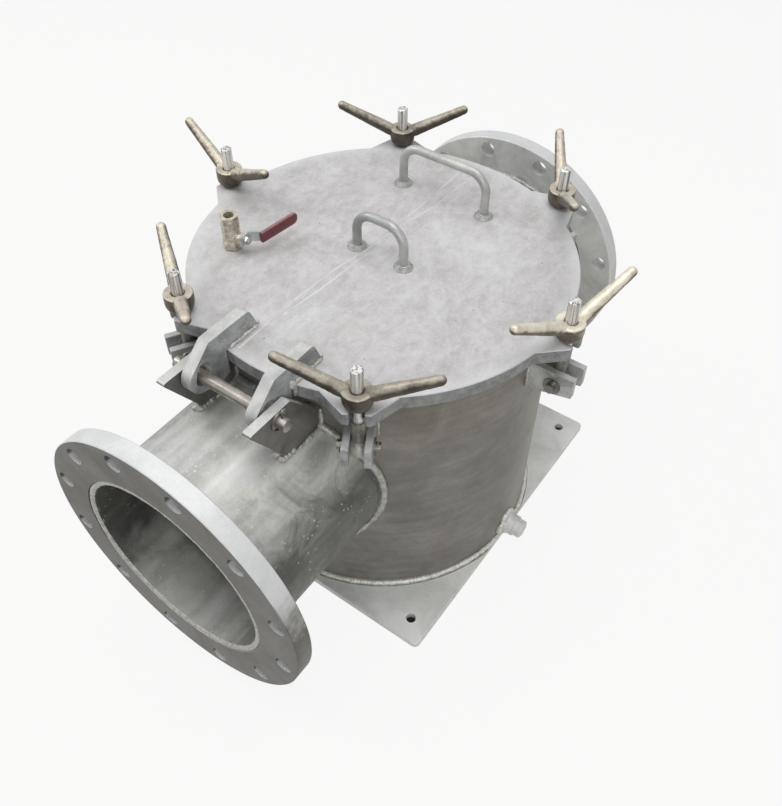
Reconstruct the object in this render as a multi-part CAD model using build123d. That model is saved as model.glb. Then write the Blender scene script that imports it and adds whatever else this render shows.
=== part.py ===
from build123d import *
import math
import os

# Sea chest strainer: a vertical basket strainer with a quick-opening hinged lid.
# Millimetres, +Z up. The origin is on the vessel's axis, at the underside of the
# base plate. Water enters at the flange on -X and leaves at the flange on +X.

# Running clearances
pin_fit = 0.05              # radial, between a pin or stud and the hole that turns on it
seat_gap = 0.3              # between surfaces that only rest or slide on each other
side_gap = 0.75             # each side of a swing bolt's eye, between its two lugs

# Vessel
shell_radius = 228.6        # outside of the pipe that the body is cut from
shell_wall = 8
body_height = 410           # from the underside of the base to the top of the rim
foot_weld = 7               # leg of the fillet between shell and base

# Base plate
base_end_margin = 21.4      # plate beyond the shell, averaged over its two ends
base_side_margin = 1.4      # plate beyond the shell at each side
base_thickness = 10
base_shift = 12             # centre of the plate, downstream of the vessel's axis
base_corner = 8
plate_edge = 1              # worn edge of the plates and flanges
base_hole_radius = 7
base_hole_inset = 30        # from the plate's edges to a hole's centre

# Rim and gasket
rim_thickness = 12
rim_inside = 8.6            # how far the rim stands inside the shell's bore
rim_outside = 9.4           # how far it stands outside the shell
gasket_thickness = 3.7
gasket_inset = 2            # from both edges of the rim

# Lid
lid_thickness = 18
lid_overhang = 10.5         # lid's edge, beyond the rim
ear_root_width = 90         # width of an ear where it leaves the lid's edge
ear_tip_width = 32
ear_tip = 13                # end of an ear, beyond the bolt circle
ear_corner = 2.5
ear_slot_width = 17

# Nozzles and flanges
nozzle_radius = 133.7
nozzle_wall = 6.6
nozzle_drop = 176           # axis of both nozzles, below the top of the rim
nozzle_weld = 6             # bead between nozzle and shell
inlet_reach = 193.4         # from the shell to the inlet flange's face
outlet_reach = 129.4
flange_radius = 192.5
flange_thickness = 24
flange_bolt_circle = 345    # diameter
flange_bolts = 12
flange_hole_radius = 11.5
flange_play = 1.7           # radial, between the nozzle and the flange's bore
flange_weld = 7
pipe_recess = 6             # end of the pipe, inside the flange's face

# Lid hinge
hinge_out = 36.5            # pin's axis, beyond the lid's edge
hinge_up = 6                # pin's axis, above the underside of the lid
hinge_pin_radius = 8
hinge_pin_end = 13          # how far the pin stands out past a lug
arm_spread = 40             # from the middle plane to an arm's inner face
arm_thickness = 15
arm_rise = 29               # top of an arm, above the lid
arm_foot = 55.5             # how far an arm reaches in over the lid
arm_nose = 12               # slope of the arm's inner end
arm_nose_round = 7
arm_end_radius = 21
arm_slot_length = 31
arm_slot_width = 21
arm_slot_up = 4.5           # middle of the slot, above the pin's axis
arm_slot_lean = 18          # degrees, towards the lid
lug_gap = 2                 # between an arm and the lug beside it
lug_thickness = 12
lug_top_up = 13             # top of a lug, above the pin's axis
lug_back = 45               # outermost corner of a lug, beyond the pin's axis
lug_corner = 3
lug_land = 50               # height of the edge that meets the shell, from the top of a lug
lug_height = 88             # from the top of a lug to its foot on the nozzle

# Swing bolts, in the ears of the lid
bolt_count = 6
first_bolt = 30             # degrees from +X to the first bolt
bolt_out = 13.5             # bolt circle, beyond the lid's edge
bolt_pin_radius = 6
bolt_pin_drop = 33          # pin's axis, below the top of the shell
eye_radius = 14.4           # ball of the eye, flattened at its sides
eye_width = 16.5
shank_radius = 8
shank_below_lid = 5         # top of the plain shank, below the underside of the lid
stud_radius = 7
stud_above_lid = 56
stud_chamfer = 1.2

# Lugs that carry the swing bolts
dog_lug_thickness = 8
dog_lug_tip = 26            # outer edge, beyond the bolt circle
dog_lug_above_pin = 21
dog_lug_edge = 28           # height of the outer edge
dog_lug_root = 46           # height at the shell
pin_washer_radius = 11
pin_washer_thickness = 2
pin_end = 6                 # length of pin past a washer
split_pin_radius = 1.3
split_pin_reach = 4.5       # how far a split pin stands out of its pin
split_pin_eye = 4

# Wing nuts
nut_backoff = 1.4           # nut above the lid, so that its bolt can swing out
hub_height = 24.6
hub_foot_radius = 10.5
hub_top_radius = 17.6
hub_band = 12               # straight band round the top of the hub
hub_chamfer = 1.5
wing_reach = 87             # from the stud's axis to the middle of a wing's tip
wing_tip_up = 57            # middle of a wing's tip, above the lid
wing_root_up = 14           # where the wings' centre lines meet, above the lid
wing_root_radius = 9.2
wing_tip_radius = 6
wing_angles = (122, 78, 54.5, 115, 160, 34)   # degrees from +X, one for each bolt

# Lifting handles on the lid
handle_bar_radius = 6
handle_bend = 26
handle_weld_radius = 12.5
handle_weld_height = 4.5
small_handle_x = -7.5
small_handle_span = 72
small_handle_height = 60
large_handle_x = 143.5
large_handle_y = 4.7        # middle of the handle
large_handle_span = 130.6
large_handle_height = 66

# Vent valve on the lid
valve_x = -102.2
valve_y = 163.4
nipple_radius = 8.6
nipple_bore = 5
nipple_engaged = 9          # length of nipple screwed into the valve
valve_foot_up = 2           # valve body, above the lid
valve_radius = 11.5
valve_axis_up = 21          # stem's axis, above the lid
valve_joint_up = 31         # where the body ends and the hexagonal end starts
valve_top_up = 48
valve_hex = 22              # across flats
valve_port_radius = 6.6
valve_port_depth = 12
ball_radius = 7.5
seat_thickness = 4
seat_radius = 9
stem_radius = 3
tang_thickness = 2.4
tang_depth = 2
gland_boss_radius = 6.5
gland_boss_end = 16.5       # from the valve's axis
gland_nut_hex = 13
gland_nut_height = 4.5
lever_thickness = 3
lever_width = 14
lever_back = 7              # lever's end behind the stem
lever_straight = 9          # straight part beside the stem, before the crank
crank_run = 12
crank_out = 15
grip_run = 51
grip_out = 5                # how far the grip splays outwards along its run
lever_bend = 4
grip_thickness = 7
grip_width = 16.5
grip_overhang = 1.5
lever_nut_hex = 10
lever_nut_height = 5
stem_end = 2

# Drain
drain_height = 32
drain_boss_radius = 16
drain_boss_reach = 19       # from the shell
drain_thread_radius = 10.4
drain_plug_depth = 17
drain_plug_hex = 24
drain_plug_height = 12
drain_plug_chamfer = 1.5

# Basket and what holds it
basket_clearance = 6        # between the basket's rim and the bore of the vessel's rim
basket_wall = 3
basket_rim_width = 8
basket_rim_height = 10
basket_seat_height = 50     # underside of the seat ring, above the underside of the base
basket_seat_thickness = 8
basket_seat_overlap = 12    # how far the seat reaches in under the basket
basket_below_rim = 30       # top of the basket, below the top of the vessel's rim
basket_floor_thickness = 4
floor_hole_radius = 9
floor_holes = 10
floor_hole_circle = 0.62    # share of the floor's radius
window_margin = 4           # window in the basket, larger than the nozzle's bore
slot_columns = 30
slot_rows = 3
slot_width = 14
slot_land = 22              # wall left between the rows of slots
slot_margin = 26            # wall left above and below the slots
window_land = 12            # degrees of plain wall beside the window
bail_radius = 5
bail_bend = 24
bail_foot = 36              # length of bail welded down the inside of the basket
bail_below_lid = 12
guide_thickness = 8
guide_margin = 5            # degrees between the inlet's bore and a guide

# Levels and radii that follow from the sizes above
base_length = 2 * (shell_radius + base_end_margin)
base_width = 2 * (shell_radius + base_side_margin)
nozzle_height = body_height - nozzle_drop
shell_bore = shell_radius - shell_wall
shell_top = body_height - rim_thickness
rim_bore = shell_bore - rim_inside
rim_radius = shell_radius + rim_outside
gasket_top = body_height + gasket_thickness
lid_bottom = gasket_top + seat_gap
lid_top = lid_bottom + lid_thickness
lid_radius = rim_radius + lid_overhang
bolt_circle = lid_radius + bolt_out
ear_reach = bolt_circle + ear_tip
nozzle_bore = nozzle_radius - nozzle_wall
inlet_face = -(shell_radius + inlet_reach)
outlet_face = shell_radius + outlet_reach
hinge_x = -(lid_radius + hinge_out)
hinge_z = lid_bottom + hinge_up
arm_outer = arm_spread + arm_thickness
lug_inner = arm_outer + lug_gap
lug_outer = lug_inner + lug_thickness
bolt_pin_z = shell_top - bolt_pin_drop
stud_top = lid_top + stud_above_lid
nut_bottom = lid_top + nut_backoff
nut_top = nut_bottom + hub_height
dog_lug_inner = eye_width / 2 + side_gap
dog_lug_outer = dog_lug_inner + dog_lug_thickness
bolt_azimuths = [first_bolt + 360 / bolt_count * i for i in range(bolt_count)]
valve_z = lid_top + valve_axis_up
basket_seat_top = basket_seat_height + basket_seat_thickness
basket_radius = rim_bore - basket_clearance - basket_rim_width
basket_bore = basket_radius - basket_wall
basket_top = body_height - basket_below_rim


def outline(*points):
    """Flat face with straight sides, its corners at the points."""
    return make_face(Polyline(*points, close=True))


def ring(radius, bore, bottom, top):
    """Upright ring round the vessel's axis."""
    return extrude(Pos(0, 0, bottom) * (Circle(radius) - Circle(bore)), top - bottom)


def rod(start, end, radius):
    """Round bar from one point to another."""
    along = Vector(end) - Vector(start)
    return extrude(Plane(origin=start, z_dir=along) * Circle(radius), along.length)


def hexagon(start, end, across_flats, turn=0):
    """Hexagonal bar from one point to another."""
    along = Vector(end) - Vector(start)
    shape = RegularPolygon(across_flats / 2, 6, major_radius=False, rotation=turn)
    return extrude(Plane(origin=start, z_dir=along) * shape, along.length)


def standing_plate(face, low_y, high_y):
    """Plate whose face, drawn in x and z, fills the space between two values of y."""
    plane = Plane(origin=(0, high_y, 0), x_dir=(1, 0, 0), z_dir=(0, -1, 0))
    return extrude(plane * face, high_y - low_y)


def both_sides(piece):
    """A piece and its mirror image across the middle plane."""
    return [piece, mirror(piece, Plane.XZ)]


def around(piece, angles):
    """Copies of a piece, turned round the vessel's axis."""
    return [Rot(0, 0, angle) * piece for angle in angles]


def tangent_point(centre, radius, point, side):
    """Where a line from the point touches the circle; side is +1 or -1."""
    away = Vector(*point) - Vector(*centre)
    turn = side * math.degrees(math.acos(radius / away.length))
    touch = Vector(*centre) + away.normalized().rotate(Axis.Z, turn) * radius
    return touch.X, touch.Y


def bent_bar(points, bend, radius):
    """Round bar along straight runs with rounded bends."""
    path = FilletPolyline(*points, radius=bend)
    return sweep(Plane(origin=path @ 0, z_dir=path % 0) * Circle(radius), path=path)


def save(name, *pieces):
    """Write one node; several pieces stay separate solids in it."""
    shapes = [solid for piece in pieces for solid in piece.solids()]
    node = shapes[0] if len(shapes) == 1 else Compound(shapes)
    node.label = name
    export_step(node, os.path.join("parts", name + ".step"))


# The vessel: base, shell, rim and gasket


def make_base_plate():
    plate = RectangleRounded(base_length, base_width, base_corner)
    spacing_x = base_length - 2 * base_hole_inset
    spacing_y = base_width - 2 * base_hole_inset
    holes = GridLocations(spacing_x, spacing_y, 2, 2) * Circle(base_hole_radius)
    solid = extrude(Pos(base_shift, 0, 0) * (plate - holes), base_thickness)
    outside = solid.faces().sort_by(Axis.Z)[-1].outer_wire().edges()
    return chamfer(outside, plate_edge)


def make_body_shell():
    shell = ring(shell_radius, shell_bore, base_thickness, shell_top)
    weld_face = outline(
        (shell_radius, base_thickness),
        (shell_radius + foot_weld, base_thickness),
        (shell_radius, base_thickness + foot_weld),
    )
    weld = revolve(Plane.XZ * weld_face, Axis.Z)
    on_plate = Pos(base_shift, 0, base_thickness) * Box(base_length, base_width, 4 * foot_weld)
    shell += weld & on_plate
    shell -= rod((inlet_face, 0, nozzle_height), (outlet_face, 0, nozzle_height), nozzle_radius)
    shell -= rod((0, 0, drain_height), (0, -2 * shell_radius, drain_height), drain_boss_radius)
    return shell


def make_nozzle(face_x):
    """Pipe stub with its welds, from inside the flange to the bore of the shell."""
    side = 1 if face_x > 0 else -1

    def collar(start, length, radius):
        return rod((start, 0, nozzle_height), (start + side * length, 0, nozzle_height), radius)

    pipe_end = face_x - side * pipe_recess
    pipe = collar(0, abs(pipe_end), nozzle_radius)
    bead = collar(0, abs(pipe_end), nozzle_radius + nozzle_weld)
    bead &= ring(shell_radius + nozzle_weld, shell_radius, base_thickness, shell_top)
    face_weld = collar(pipe_end, pipe_recess / 2, nozzle_radius + flange_play)
    back_x = face_x - side * flange_thickness
    back_weld = Plane(origin=(back_x, 0, nozzle_height), z_dir=(-side, 0, 0)) * Cone(
        nozzle_radius + flange_play + flange_weld,
        nozzle_radius,
        flange_weld,
        align=(Align.CENTER, Align.CENTER, Align.MIN),
    )
    bore = collar(0, abs(face_x) + 1, nozzle_bore)
    vessel_bore = extrude(Circle(shell_bore), body_height)
    return pipe + bead + face_weld + back_weld - bore - vessel_bore


def make_flange(face_x):
    side = 1 if face_x > 0 else -1
    step = 360 / flange_bolts
    holes = PolarLocations(flange_bolt_circle / 2, flange_bolts, start_angle=step / 2)
    face = Circle(flange_radius) - Circle(nozzle_radius + flange_play)
    face -= holes * Circle(flange_hole_radius)
    plane = Plane(origin=(face_x, 0, nozzle_height), x_dir=(0, 1, 0), z_dir=(-side, 0, 0))
    flange = extrude(plane * face, flange_thickness)
    faces = flange.faces().sort_by(Axis.X)
    return chamfer([f.outer_wire().edges()[0] for f in (faces[0], faces[-1])], plate_edge)


# The lid and its handles


def ear_face():
    """One ear of the lid, on +X, before its slot is cut."""
    root = ear_root_width / 2
    tip = ear_tip_width / 2
    edge = math.sqrt(lid_radius ** 2 - root ** 2)
    ear = outline((edge - root, root), (edge, root), (ear_reach, tip),
                  (ear_reach, -tip), (edge, -root), (edge - root, -root))
    slot = Pos(bolt_circle, 0) * Circle(ear_slot_width / 2)
    slot += Pos(bolt_circle + ear_tip, 0) * Rectangle(2 * ear_tip, ear_slot_width)
    ear -= slot
    return fillet(ear.vertices().group_by(Axis.X)[-1], ear_corner)


def ear_notch():
    """The part of a slot that reaches in past the lid's edge."""
    length = ear_reach - bolt_circle + ear_slot_width
    notch = Pos(bolt_circle, 0) * Circle(ear_slot_width / 2)
    return notch + Pos(bolt_circle + length / 2, 0) * Rectangle(length, ear_slot_width)


def make_lid_plate():
    face = Circle(lid_radius)
    for angle in bolt_azimuths:
        face += Rot(0, 0, angle) * ear_face()
    for angle in bolt_azimuths:
        face -= Rot(0, 0, angle) * ear_notch()
    plate = extrude(Pos(0, 0, lid_bottom) * face, lid_thickness)
    plate = chamfer(plate.edges().group_by(Axis.Z)[-1], plate_edge)
    return plate - valve_cylinder(nipple_radius, lid_bottom, lid_top)


def make_handle(x, middle_y, span, height):
    """Round bar bent into a staple, with the welds at its feet."""
    top = lid_top + height - handle_bar_radius
    low, high = middle_y - span / 2, middle_y + span / 2
    corners = [(x, low, lid_top), (x, low, top), (x, high, top), (x, high, lid_top)]
    handle = bent_bar(corners, handle_bend, handle_bar_radius)
    for y in (low, high):
        handle += Pos(x, y, lid_top) * Cone(
            handle_weld_radius,
            handle_bar_radius,
            handle_weld_height,
            align=(Align.CENTER, Align.CENTER, Align.MIN),
        )
    return handle


# The hinge of the lid


def arm_face():
    """Side view of a hinge arm, which hooks down past the lid's edge to the pin."""
    centre = (hinge_x, hinge_z)
    top = lid_top + arm_rise
    shoulder = (hinge_x + 15, top)
    heel = (hinge_x + 23, hinge_z - 28)
    inner = -lid_radius + arm_foot
    hook = outline(
        (inner, lid_top),
        (inner - arm_nose, top),
        shoulder,
        tangent_point(centre, arm_end_radius, shoulder, 1),
        centre,
        tangent_point(centre, arm_end_radius, heel, -1),
        heel,
        (heel[0] + 15, heel[1] + 5),
        (heel[0] + 15, lid_top),
    )
    slot = SlotOverall(arm_slot_length, arm_slot_width, rotation=90 - arm_slot_lean)
    hook = fillet(hook.vertices().group_by(Axis.Y)[-1].sort_by(Axis.X)[-1], arm_nose_round)
    hook += Pos(*centre) * Circle(arm_end_radius)
    return hook - Pos(hinge_x, hinge_z + arm_slot_up) * slot


def make_hinge_arm():
    arm = standing_plate(arm_face(), arm_spread, arm_outer)
    return arm - extrude(Circle(lid_radius), lid_top)


def lug_face():
    """Side view of a hinge lug, which stands on the nozzle against the shell."""
    top = hinge_z + lug_top_up
    foot = top - lug_height
    back = hinge_x - lug_back
    plate = outline(
        (hinge_x + 20, top),
        (back, top),
        (hinge_x, foot + 16),
        (hinge_x + 24, foot),
        (-shell_bore, foot),
        (-shell_bore, top - lug_land),
        (-shell_radius + nozzle_weld, top - lug_land),
    )
    plate = fillet(plate.vertices().sort_by(Axis.X)[0], lug_corner)
    return plate - Pos(hinge_x, hinge_z) * Circle(hinge_pin_radius)


def make_hinge_lug():
    lug = standing_plate(lug_face(), lug_inner, lug_outer)
    lug -= extrude(Circle(shell_radius), lid_top)
    reach = nozzle_radius + nozzle_weld
    nozzle = rod((inlet_face, 0, nozzle_height), (0, 0, nozzle_height), nozzle_radius)
    bead = rod((inlet_face, 0, nozzle_height), (0, 0, nozzle_height), reach)
    bead &= ring(shell_radius + nozzle_weld, shell_bore, base_thickness, shell_top)
    return lug - nozzle - bead


hinge_pin_y = lug_outer + hinge_pin_end
hinge_split_y = lug_outer + pin_washer_thickness + 2 * split_pin_radius + 1


def make_split_pin(x, y, z, pin_radius):
    """Split pin standing in a cross hole, its eye on top."""
    bottom = z - pin_radius - split_pin_reach
    top = z + pin_radius + split_pin_reach
    wire = rod((x, y, bottom), (x, y, top), split_pin_radius)
    eye_thickness = 1.6 * split_pin_radius
    eye_face = Circle(split_pin_eye) - Circle(split_pin_eye - eye_thickness)
    middle = top + split_pin_eye - eye_thickness
    plane = Plane(origin=(x, y + eye_thickness / 2, middle), z_dir=(0, -1, 0))
    return wire + extrude(plane * eye_face, eye_thickness)


def make_hinge_pin():
    pin = rod((hinge_x, -hinge_pin_y, hinge_z), (hinge_x, hinge_pin_y, hinge_z), hinge_pin_radius)
    for y in (-hinge_split_y, hinge_split_y):
        pin -= rod((hinge_x, y, hinge_z - 20), (hinge_x, y, hinge_z + 20), split_pin_radius)
    return pin


def make_hinge_washer():
    start = (hinge_x, lug_outer, hinge_z)
    end = (hinge_x, lug_outer + pin_washer_thickness, hinge_z)
    return rod(start, end, hinge_pin_radius + 4.5) - rod(start, end, hinge_pin_radius)


# Swing bolts, their lugs and their wing nuts, all built at azimuth 0


def dog_lug_face():
    top = bolt_pin_z + dog_lug_above_pin
    tip = bolt_circle + dog_lug_tip
    plate = outline(
        (shell_bore, top),
        (tip, top),
        (tip, top - dog_lug_edge),
        (shell_bore, top - dog_lug_root),
    )
    return plate - Pos(bolt_circle, bolt_pin_z) * Circle(bolt_pin_radius)


def make_dog_lug():
    lug = standing_plate(dog_lug_face(), dog_lug_inner, dog_lug_outer)
    return lug - extrude(Circle(shell_radius), lid_top)


dog_washer_end = dog_lug_outer + pin_washer_thickness
dog_pin_y = dog_washer_end + pin_end
dog_split_y = dog_washer_end + 2 * split_pin_radius


def make_dog_pin():
    pin = rod((bolt_circle, -dog_pin_y, bolt_pin_z), (bolt_circle, dog_pin_y, bolt_pin_z), bolt_pin_radius)
    for y in (-dog_split_y, dog_split_y):
        low = (bolt_circle, y, bolt_pin_z - 20)
        high = (bolt_circle, y, bolt_pin_z + 20)
        pin -= rod(low, high, split_pin_radius)
    return pin


def make_dog_washer():
    start = (bolt_circle, dog_lug_outer, bolt_pin_z)
    end = (bolt_circle, dog_washer_end, bolt_pin_z)
    return rod(start, end, pin_washer_radius) - rod(start, end, bolt_pin_radius)


def make_swing_bolt():
    """Eye bolt: the eye turns on its pin, the stud stands in the lid's slot."""
    half = eye_width / 2
    low = (bolt_circle, -half, bolt_pin_z)
    high = (bolt_circle, half, bolt_pin_z)
    shank_top = lid_bottom - shank_below_lid
    bolt = Pos(bolt_circle, 0, bolt_pin_z) * Sphere(eye_radius)
    bolt &= Pos(bolt_circle, 0, bolt_pin_z) * Box(2 * eye_radius, eye_width, 2 * eye_radius)
    bolt += rod((bolt_circle, 0, bolt_pin_z), (bolt_circle, 0, shank_top), shank_radius)
    stud = rod((bolt_circle, 0, shank_top), (bolt_circle, 0, stud_top), stud_radius)
    bolt += chamfer(stud.edges().group_by(Axis.Z)[-1], stud_chamfer)
    return bolt - rod(low, high, bolt_pin_radius + pin_fit)


def make_wing(side):
    root_z = lid_top + wing_root_up
    tip_z = lid_top + wing_tip_up
    root = Vector(bolt_circle, 0, root_z)
    tip = Vector(bolt_circle + side * wing_reach, 0, tip_z)
    along = tip - root
    taper = Plane(origin=root, z_dir=along) * Cone(
        wing_root_radius,
        wing_tip_radius,
        along.length,
        align=(Align.CENTER, Align.CENTER, Align.MIN),
    )
    return taper + Pos(tip) * Sphere(wing_tip_radius)


def hub_rounding(cup_top):
    """What the quarter ellipse at the foot of the cup leaves off its half section."""
    width = hub_top_radius - hub_foot_radius
    height = cup_top - nut_bottom
    corner = Rectangle(width, height, align=(Align.MIN, Align.MIN)) - Pos(0, height) * Ellipse(width, height)
    return Pos(hub_foot_radius, nut_bottom) * corner


def make_wing_nut(wing_angle):
    """Cast hub, rounded in at the foot, with two long wings that rise in a V."""
    cup_top = nut_top - hub_band
    hub_face = outline(
        (0, nut_bottom),
        (hub_foot_radius, nut_bottom),
        (hub_top_radius, nut_bottom),
        (hub_top_radius, nut_top - hub_chamfer),
        (hub_top_radius - hub_chamfer, nut_top),
        (0, nut_top),
    )
    hub_face -= hub_rounding(cup_top)
    nut = Pos(bolt_circle, 0, 0) * revolve(Plane.XZ * hub_face, Axis.Z)
    for side in (1, -1):
        nut += Pos(bolt_circle, 0, 0) * Rot(0, 0, wing_angle) * Pos(-bolt_circle, 0, 0) * make_wing(side)
    low = (bolt_circle, 0, nut_bottom - 1)
    high = (bolt_circle, 0, stud_top + wing_reach)
    return nut - rod(low, high, stud_radius + pin_fit)


# The vent valve on the lid


def on_valve(out, up=0, along=0):
    """Point of the valve: out towards -Y from its axis, up from the stem's axis."""
    return valve_x + along, valve_y - out, valve_z + up


valve_joint_z = lid_top + valve_joint_up
seat_foot = ball_radius + 1
gland_nut_end = gland_boss_end + gland_nut_height
lever_start = gland_nut_end + seat_gap
lever_end = lever_start + lever_thickness
lever_nut_end = lever_end + lever_nut_height


def valve_cylinder(radius, bottom, top):
    return rod((valve_x, valve_y, bottom), (valve_x, valve_y, top), radius)


def make_nipple():
    top = lid_top + valve_foot_up + nipple_engaged
    return valve_cylinder(nipple_radius, lid_bottom, top) - valve_cylinder(nipple_bore, lid_bottom, top)


def make_valve_body():
    foot = lid_top + valve_foot_up
    body = hexagon((valve_x, valve_y, foot), (valve_x, valve_y, foot + nipple_engaged), valve_hex)
    body += valve_cylinder(valve_radius, foot + nipple_engaged, valve_joint_z)
    body += rod(on_valve(0), on_valve(gland_boss_end), gland_boss_radius)
    body -= valve_cylinder(nipple_radius, foot, foot + nipple_engaged)
    body -= valve_cylinder(nipple_bore, foot, valve_joint_z)
    body -= valve_cylinder(seat_radius, valve_z - seat_foot, valve_joint_z)
    return body - rod(on_valve(0), on_valve(gland_boss_end), stem_radius + pin_fit)


def make_valve_end():
    top = lid_top + valve_top_up
    end = hexagon((valve_x, valve_y, valve_joint_z), (valve_x, valve_y, top), valve_hex)
    end &= valve_cylinder(valve_hex / 2 + 1, valve_joint_z, top)
    end += valve_cylinder(seat_radius, valve_z + seat_foot, valve_joint_z)
    end -= valve_cylinder(nipple_bore, valve_z, top)
    return end - valve_cylinder(valve_port_radius, top - valve_port_depth, top)


def make_seat(side):
    far = valve_z + side * seat_foot
    near = far - side * seat_thickness
    seat = valve_cylinder(seat_radius, min(near, far), max(near, far))
    seat -= valve_cylinder(nipple_bore, min(near, far), max(near, far))
    return seat - Pos(valve_x, valve_y, valve_z) * Sphere(ball_radius + seat_gap)


def make_ball():
    ball = Pos(valve_x, valve_y, valve_z) * Sphere(ball_radius)
    ball -= rod(on_valve(0, 0, -ball_radius), on_valve(0, 0, ball_radius), nipple_bore)
    return ball - tang(stem_radius)


def tang(half_width):
    """Flat key on the stem's end, which turns the ball."""
    centre = on_valve(ball_radius - tang_depth / 2)
    return Pos(*centre) * Box(2 * half_width, tang_depth, tang_thickness)


def make_stem():
    stem = rod(on_valve(ball_radius), on_valve(lever_nut_end + stem_end), stem_radius)
    key = tang(stem_radius)
    key &= rod(on_valve(0), on_valve(ball_radius), stem_radius)
    return stem + key


def lever_path():
    """Centre line of the lever, seen from above, cranked out to clear the valve."""
    middle = lever_start + lever_thickness / 2
    crank_x = valve_x + lever_straight + crank_run
    crank_y = valve_y - middle - crank_out
    return [
        (valve_x - lever_back, valve_y - middle),
        (valve_x + lever_straight, valve_y - middle),
        (crank_x, crank_y),
        (crank_x + grip_run, crank_y - grip_out),
    ]


def strip(path, thickness):
    """Face of a bent strip, seen on its edge."""
    return make_face(offset(path, thickness / 2, side=Side.BOTH, kind=Kind.INTERSECTION))


def rounded_end(width, thickness_y):
    """Cutter that leaves a round end of the given width on the free end of the lever."""
    end_x = lever_path()[-1][0]
    length = lever_back + lever_straight + crank_run + grip_run
    face = Pos(end_x - length / 2, valve_z) * SlotOverall(length + width, width)
    return standing_plate(face, valve_y - thickness_y, valve_y)


def make_lever():
    bar = FilletPolyline(*lever_path(), radius=lever_bend)
    lever = extrude(Pos(0, 0, valve_z - lever_width / 2) * strip(bar, lever_thickness), lever_width)
    lever &= rounded_end(lever_width, 4 * crank_out + lever_end)
    return lever - rod(on_valve(lever_start - 1), on_valve(lever_end + 1), stem_radius)


def make_grip():
    """Plastic sleeve on the lever's straight end."""
    start, end = [Vector(*point) for point in lever_path()[-2:]]
    along = (end - start).normalized()
    inner = start + along * lever_bend * 2
    sleeve_path = Line(inner, end + along * grip_overhang)
    sleeve = extrude(
        Pos(0, 0, valve_z - grip_width / 2) * strip(sleeve_path, grip_thickness), grip_width
    )
    sleeve &= rounded_end(grip_width, 4 * crank_out + lever_end)
    return sleeve - make_lever()


def make_gland_nut():
    nut = hexagon(on_valve(gland_boss_end), on_valve(gland_nut_end), gland_nut_hex)
    return nut - rod(on_valve(0), on_valve(gland_nut_end), stem_radius + pin_fit)


def make_lever_nut():
    nut = hexagon(on_valve(lever_end), on_valve(lever_nut_end), lever_nut_hex)
    return nut - rod(on_valve(0), on_valve(lever_nut_end), stem_radius)


# The drain


def make_drain_boss():
    face_y = -(shell_radius + drain_boss_reach)
    boss = rod((0, 0, drain_height), (0, face_y, drain_height), drain_boss_radius)
    boss -= extrude(Circle(shell_bore), body_height)
    return boss - rod((0, 0, drain_height), (0, face_y, drain_height), drain_thread_radius)


def make_drain_plug():
    face_y = -(shell_radius + drain_boss_reach + seat_gap)
    tip = (0, face_y + drain_plug_depth, drain_height)
    face = (0, face_y, drain_height)
    head_end = (0, face_y - drain_plug_height, drain_height)
    head = hexagon(face, head_end, drain_plug_hex)
    head = chamfer(head.edges().group_by(Axis.Y)[0], drain_plug_chamfer)
    return head + rod(tip, face, drain_thread_radius - pin_fit)


# The basket, and what carries it in the vessel


def slot_angles():
    """Azimuths of the columns of slots, which leave out the window on -X."""
    blocked = math.degrees(math.asin((nozzle_bore + window_margin) / basket_bore)) + window_land
    step = 360 / slot_columns
    angles = [step * (i + 0.5) for i in range(slot_columns)]
    return [angle for angle in angles if abs(angle - 180) > blocked]


def make_basket_shell():
    basket = ring(basket_radius, basket_bore, basket_seat_top, basket_top)
    window_radius = nozzle_bore + window_margin
    basket -= rod((-shell_radius, 0, nozzle_height), (-1, 0, nozzle_height), window_radius)
    low = basket_seat_top + slot_margin
    high = basket_top - slot_margin
    length = (high - low - (slot_rows - 1) * slot_land) / slot_rows
    column = []
    for row in range(slot_rows):
        middle = low + length / 2 + row * (length + slot_land)
        column.append(Pos(basket_radius, 0, middle) * Box(8 * basket_wall, slot_width, length))
    return basket - [cut for piece in column for cut in around(piece, slot_angles())]


def make_basket_rim():
    return ring(basket_radius + basket_rim_width, basket_radius, basket_top - basket_rim_height, basket_top)


def make_basket_floor():
    floor_top = basket_seat_top + basket_floor_thickness
    holes = PolarLocations(basket_bore * floor_hole_circle, floor_holes) * Circle(floor_hole_radius)
    face = Circle(basket_bore) - holes - Circle(floor_hole_radius)
    return extrude(Pos(0, 0, basket_seat_top) * face, floor_top - basket_seat_top)


def make_basket_bail():
    side = basket_bore - bail_radius - seat_gap
    top = lid_bottom - bail_below_lid - bail_radius
    foot = basket_top - bail_foot
    return bent_bar([(0, -side, foot), (0, -side, top), (0, side, top), (0, side, foot)], bail_bend, bail_radius)


def make_basket_seat():
    return ring(shell_bore, basket_radius - basket_seat_overlap, basket_seat_height, basket_seat_top)


def make_guide():
    """Upright strip beside the inlet, which keeps the flow from passing round the basket."""
    half = math.degrees(math.asin(nozzle_radius / shell_bore)) + guide_margin
    strip_length = shell_bore - basket_radius + 2 * guide_thickness
    middle = (basket_top - basket_rim_height - seat_gap + basket_seat_top) / 2
    height = 2 * (middle - basket_seat_top)
    guide = Pos(basket_radius + strip_length / 2, 0, middle) * Box(strip_length, guide_thickness, height)
    guide &= ring(shell_bore, basket_radius + seat_gap, basket_seat_top, basket_top)
    return Rot(0, 0, 180 - half) * guide


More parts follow.
